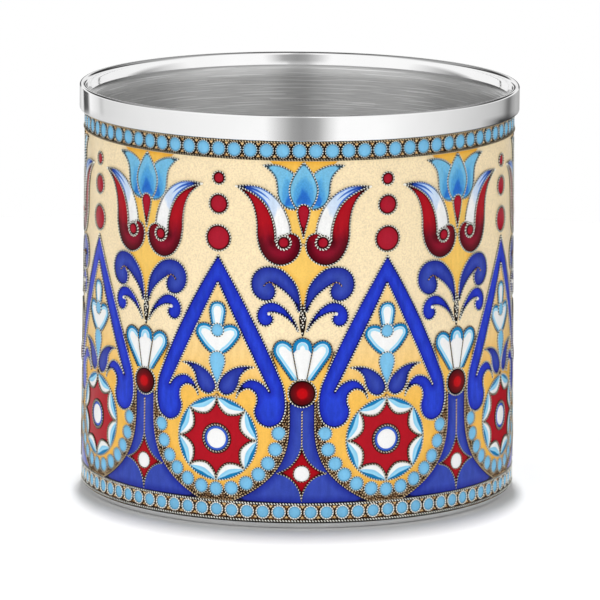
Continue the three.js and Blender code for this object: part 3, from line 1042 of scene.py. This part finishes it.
def make_grounds():
    throat = symmetric(corners(
        (0, 66), (3, 64.6), (4.3, 63), (5, 58), (6, 54), (4.9, 52.4), (5, 50.6), (2.9, 48.6), (1, 45.6),
        (0, 43),
    ))
    crown = symmetric(corners((0, 72.75), (6.7, 72.75), (5.2, 71.5), (2, 69.8), (0, 70)))
    cradle = symmetric(corners((0, 36), (4.9, 36), (6, 33.8), (4.9, 29), (3.5, 26.3), (2.7, 25.4), (0, 25.4)))
    gold = Piece()
    for outline in (throat, crown, cradle):
        gold.cell(outline, "gold", FIELD_LEVEL, swell=0.02)
    gold.object("gold_fields", "yellow_enamel")

    bead_line = smooth((10.5, 23), (12.4, 20.5), *CRESCENT_BEADS, CRESCENT_FOOT)
    fields = Piece(turn=HALF_TURN)
    field = symmetric(corners((0, 51), (6.5, 40), (11.8, 28.5), (10.5, 23)), bead_line)
    fields.cell(field, "field", FIELD_LEVEL, swell=0.02)
    fields.object("yellow_fields", "yellow_enamel")

    heel = corners((13.4, 27), (13.7, 25.3), (13.6, 23.4), (12.6, 21))
    outer = joined(heel, smooth(*CRESCENT_BEADS, CRESCENT_FOOT)) * (-1, 1) + (PITCH / 2, 0)
    band = joined(outer, corners(outer[-1], (PITCH / 2, 5.3), STEM_SIDE[-1]), STEM_SIDE[::-1], outer[:1])[:-1]
    filigree = Piece()
    beads = np.array([*CRESCENT_BEADS, CRESCENT_FOOT]) * (-1, 1) + (PITCH / 2, 0)
    for outline, places in zip(both(band), both(beads)):
        filigree.cell(outline, "filigree", FILIGREE_LEVEL, swell=0.02)
        filigree.granules(outline, FILIGREE_LEVEL, beads=places)
    filigree.object("filigree_fields", "copper")


def make_crescents(wires):
    beads = Piece(turn=HALF_TURN)
    for across, up in (*CRESCENT_BEADS, CRESCENT_FOOT, *mirror(CRESCENT_BEADS)):
        beads.cell(circle(across, up, BEAD_RADIUS), "bead", CELL_LEVEL, **BEAD_DOME)
        wires.ring(across, up, BEAD_RADIUS + 0.07, radius=0.12, lift=0.0, twist=RING_TWIST)
    beads.object("bead_crescents", "pale_blue_enamel")

    places, centre = np.array([*CRESCENT_BEADS, CRESCENT_FOOT]), (0, ROSETTE_UP)
    crests = pushed(places, centre, BEAD_RADIUS + 0.42)
    dips = pushed((places[1:] + places[:-1]) / 2, centre, 1.0)
    wave = np.stack([crests[:-1], dips], 1).reshape(-1, 2)
    wires.ropes(*both(smooth(*wave, crests[-1])), radius=0.11, lift=-0.08, material="gilt_wire")


GILT_HALF_WIDTH = 0.42


def make_border(name, low, high, beads, phase, up, radius, ring_wire, metals, edges, lift):
    """A row of enamel beads in wire rings on dark ground, with gilt corners between, and two edge wires.
    The metals are the ground's and the rings'. Edges are the radius and metal of the lower and upper wire."""
    ground_metal, ring_metal = metals
    spacing = 2 * math.pi * PANEL_RADIUS / beads
    half, turn = spacing / 2, phase * spacing / PITCH
    ground = Piece(beads, turn)
    slab = corners((-half, low), (half, low), (half, high), (-half, high), (-half, low))[:-1]
    ground.cell(slab, ground_metal, FILIGREE_LEVEL + lift, swell=0.0)
    ground.object(f"{name}_border_ground", "copper", f"{name}_bead_band")

    row, rings, gilding = Piece(beads, turn), Piece(beads, turn), Piece(beads, turn)
    row.cell(circle(0, up, radius), "bead", CELL_LEVEL + lift, **BEAD_DOME)
    rings.ring(0, up, radius + 0.06, radius=ring_wire, lift=lift, material=ring_metal, twist=RING_TWIST)
    for side in (-1, 1):
        edge, point = up + side * radius, up + side * 0.6 * radius
        left, right = (half - GILT_HALF_WIDTH, edge), (half + GILT_HALF_WIDTH, edge)
        corner = corners(left, (half, point), right, left)[:-1]
        gilding.cell(corner[::-side], "gilt", CELL_LEVEL + lift, swell=0.15, reach=0.3)
    row.object(f"{name}_beads", "pale_blue_enamel")
    rings.object(f"{name}_bead_rings", "silver_wire")
    gilding.object(f"{name}_gilt_corners", "copper")
    for place, (wire_radius, metal) in zip(("lower_wire", "upper_wire"), edges):
        node = f"{name}_border_{place}"
        wire_low, wire_high = box_mm(node)
        wire_up = (wire_low[2] + wire_high[2]) / 2
        wire = Piece()
        around = smooth((-PITCH / 2, wire_up), (PITCH / 2, wire_up))
        wire.rope(around, radius=wire_radius, lift=lift, material=metal)
        wire.object(f"{name}_{place}", "silver_wire", node)


# The studio

def mirrored_room(tree):
    """What the cup mirrors: cards under the horizon, walls over it and a ceiling, with a darker gap where the
    camera stands."""
    parts = tree.parts(tree.add("TexCoord").outputs["Generated"])
    turn = tree.math("ARCTAN2", parts["X"], tree.math("MULTIPLY", parts["Y"], -1.0))

    def around(*levels):
        """Grey levels at angles from the camera's side."""
        stops = [((angle + 180) / 360, grey(level)) for angle, level in levels]
        return tree.ramp(tree.span(turn, -math.pi, math.pi), stops)

    camera_gap = (-19, 1.0), (-11, 0.6), (-5, 0.36), (0, 0.3), (8, 0.39), (14, 0.76), (19, 1.0)
    left_card = (-163, 0.8), (-158, 0.85), (-156, 0.05), (-147, 0.13), (-144, 1.0), (-132, 0.78)
    right_card = (125, 0.52), (131, 0.44), (136, 0.27), (139, 0.17), (142, 0.18), (147, 0.35), (155, 0.47)
    cards = around(
        (-180, 0.4), *left_card, (-128, 0.57), (-124, 0.7), (-100, 0.78), *camera_gap,
        (40, 1.0), (108, 0.6), *right_card, (180, 0.4),
    )
    low_cards = around(
        (-180, 0.6), (-100, 0.78), *camera_gap, (40, 1.0), (108, 0.6), (130, 0.04), (180, 0.04),
    )
    cards = tree.mix(tree.span(parts["Z"], -0.185, -0.165), low_cards, cards)
    walls = around((-180, 0.9), *camera_gap, (180, 0.85))
    aside = tree.math("ABSOLUTE", parts["X"])
    rear, high = tree.span(parts["Y"], 0.8, 0.88), tree.span(parts["Z"], 0.42, 0.62)
    rear_panel = tree.math("MULTIPLY", rear, tree.span(aside, 0.1, 0.16, 0.4, 0.0))
    side_panels = tree.math("MULTIPLY", high, tree.span(aside, 0.1, 0.2, 0.0, 0.35))
    overhead = tree.math("MAXIMUM", tree.span(parts["Y"], -0.4, 0.4, 1.0, 0.05), side_panels)
    stand = around((-180, 1.0), (-12, 1.0), (-6, 0.6), (4, 0.6), (7, 1.0), (180, 1.0))
    gap = tree.mix(tree.span(parts["Z"], 0.4, 0.5), walls, stand)
    ceiling = tree.mix(1.0, tree.math("ADD", overhead, rear_panel), gap, "MULTIPLY")
    room = tree.mix(tree.span(parts["Z"], -0.04, 0.0), cards, walls)
    room = tree.mix(tree.span(parts["Z"], 0.22, 0.28), room, ceiling)
    horizon = tree.math("ABSOLUTE", parts["Z"])
    behind = tree.math("MULTIPLY", tree.span(parts["Y"], 0.95, 0.97), tree.span(horizon, 0.1, 0.13, 1.0, 0.0))
    return tree.mix(behind, room, grey(0.08))


ROOM_LIGHT = 0.42


def make_world():
    """A white backdrop that gives an even light, and the room in all that mirrors it."""
    world = bpy.data.worlds.new("studio")
    bpy.context.scene.world = world
    tree = Tree(world)
    path = tree.add("LightPath").outputs
    shown = tree.mix(path["Is Glossy Ray"], grey(1.0), mirrored_room(tree))
    seen = tree.math("MAXIMUM", path["Is Camera Ray"], path["Is Glossy Ray"])
    strength = tree.span(seen, 0.0, 1.0, ROOM_LIGHT, 1.0)
    background = tree.add("Background", {"Color": shown, "Strength": strength})
    tree.links.new(background.outputs[0], tree.add("OutputWorld").inputs["Surface"])


FLOOR_RADIUS = 0.32
NEAR_FLOOR = 0.05
FLOOR_SIDES = 96


def make_floor():
    """A round white floor that keeps the cup's shadow. Away from the cup, steel and enamel mirror the room
    in place of it."""
    mesh = bpy.data.meshes.new("floor")
    turns = [2 * math.pi * side / FLOOR_SIDES for side in range(FLOOR_SIDES)]
    ring = [(FLOOR_RADIUS * math.cos(turn), FLOOR_RADIUS * math.sin(turn), 0) for turn in turns]
    mesh.from_pydata(ring, [], [list(range(FLOOR_SIDES))])
    tree = new_material("floor", "_white")
    mottle = tree.varied(tree.noise(tree.place(), 40.0), 0.79, 0.81)
    white = tree.add("BsdfDiffuse", {"Color": tree.mix(mottle, grey(0.0), grey(1.0))})
    from_cup = tree.square_from_axis(tree.parts(tree.place()))
    far = tree.span(from_cup, NEAR_FLOOR**2, 2 * NEAR_FLOOR**2)
    past = tree.math("MULTIPLY", tree.add("LightPath").outputs["Is Glossy Ray"], far)
    clear = tree.add("BsdfTransparent")
    tree.surface(tree.add("MixShader", {0: past, 1: white.outputs[0], 2: clear.outputs[0]}))
    mesh.materials.append(MATERIALS["floor"])
    floor = linked("floor", mesh)


def make_lamps():
    for name, place, width, length, power in (
        ("top_light", (0.0, 0.44, 5.0), 0.14, 0.8, 212.0),
        ("key_light", (-0.6, -0.8, 0.3), 0.6, 0.6, 2.7),
        ("fill_light", (0.55, -0.82, 0.3), 0.6, 0.6, 1.95),
    ):
        lamp = bpy.data.lights.new(name, "AREA")
        lamp.shape = "RECTANGLE"
        lamp.size, lamp.size_y, lamp.energy = width, length, power
        obj = linked(name, lamp)
        obj.location = place
        aim = Vector((0, 0, HEIGHT * MM / 2)) - Vector(place)
        obj.rotation_euler = aim.to_track_quat("-Z", "Y").to_euler()
        obj.visible_glossy = False


# The camera, fitted to the photograph's rim, sides and foot
CAMERA_DISTANCE = 1216.6
CAMERA_ELEVATION = 10.546
CAMERA_AZIMUTH = -1.27
CAMERA_ROLL = 0.46
CAMERA_AIM_ACROSS, CAMERA_AIM_UP = 0.394, 37.554
FOCAL_PIXELS, FRAME_PIXELS = 6039.95, 600


def make_camera():
    camera = bpy.data.cameras.new("camera")
    camera.lens = FOCAL_PIXELS / FRAME_PIXELS * camera.sensor_width
    camera.clip_end = 20.0
    turn, rise = math.radians(CAMERA_AZIMUTH), math.radians(CAMERA_ELEVATION)
    right = Vector((math.cos(turn), math.sin(turn), 0))
    ahead = Vector((-math.sin(turn), math.cos(turn), 0))
    aim = (right * CAMERA_AIM_ACROSS + Vector((0, 0, CAMERA_AIM_UP))) * MM
    look = ahead * math.cos(rise) - Vector((0, 0, math.sin(rise)))
    obj = linked("camera", camera)
    facing = look.to_track_quat("-Z", "Y").to_matrix().to_4x4()
    roll = Matrix.Rotation(math.radians(CAMERA_ROLL), 4, "Z")
    obj.matrix_world = Matrix.Translation(aim - look * CAMERA_DISTANCE * MM) @ facing @ roll
    bpy.context.scene.camera = obj


make_camera()
make_collar()
make_liner()
make_foot()
make_base()
make_sleeve()
motifs = (
    ("flower_wires", Piece(), (make_tulip, make_volutes)),
    ("palmette_wires", Piece(), (make_scrolls, make_shell, make_stem)),
    ("chevron_wires", Piece(turn=HALF_TURN), (make_chevron, make_heart, make_red_dots)),
    ("rosette_wires", Piece(turn=HALF_TURN), (make_rosette, make_crescents)),
)
for _, wires, makers in motifs:
    for make in makers:
        make(wires)
make_grounds()
for name, wires, _ in motifs:
    wires.object(name, "silver_wire")
make_border(
    "upper", FIELD_HIGH, ground_high[2], beads=84, phase=-0.28, up=74.8, radius=1.36, ring_wire=0.1,
    metals=("border", "wire"), edges=((0.24, "dark_wire"), (0.19, "gilt_wire")), lift=0.05,
)
make_border(
    "lower", ground_low[2], FIELD_LOW, beads=87, phase=-0.41, up=3.4, radius=1.23, ring_wire=0.15,
    metals=("filigree", "ring"), edges=((0.22, "wire"), (0.22, "wire")), lift=-0.18,
)
make_world()
make_floor()
make_lamps()
bpy.context.scene.view_settings.view_transform = "Standard"
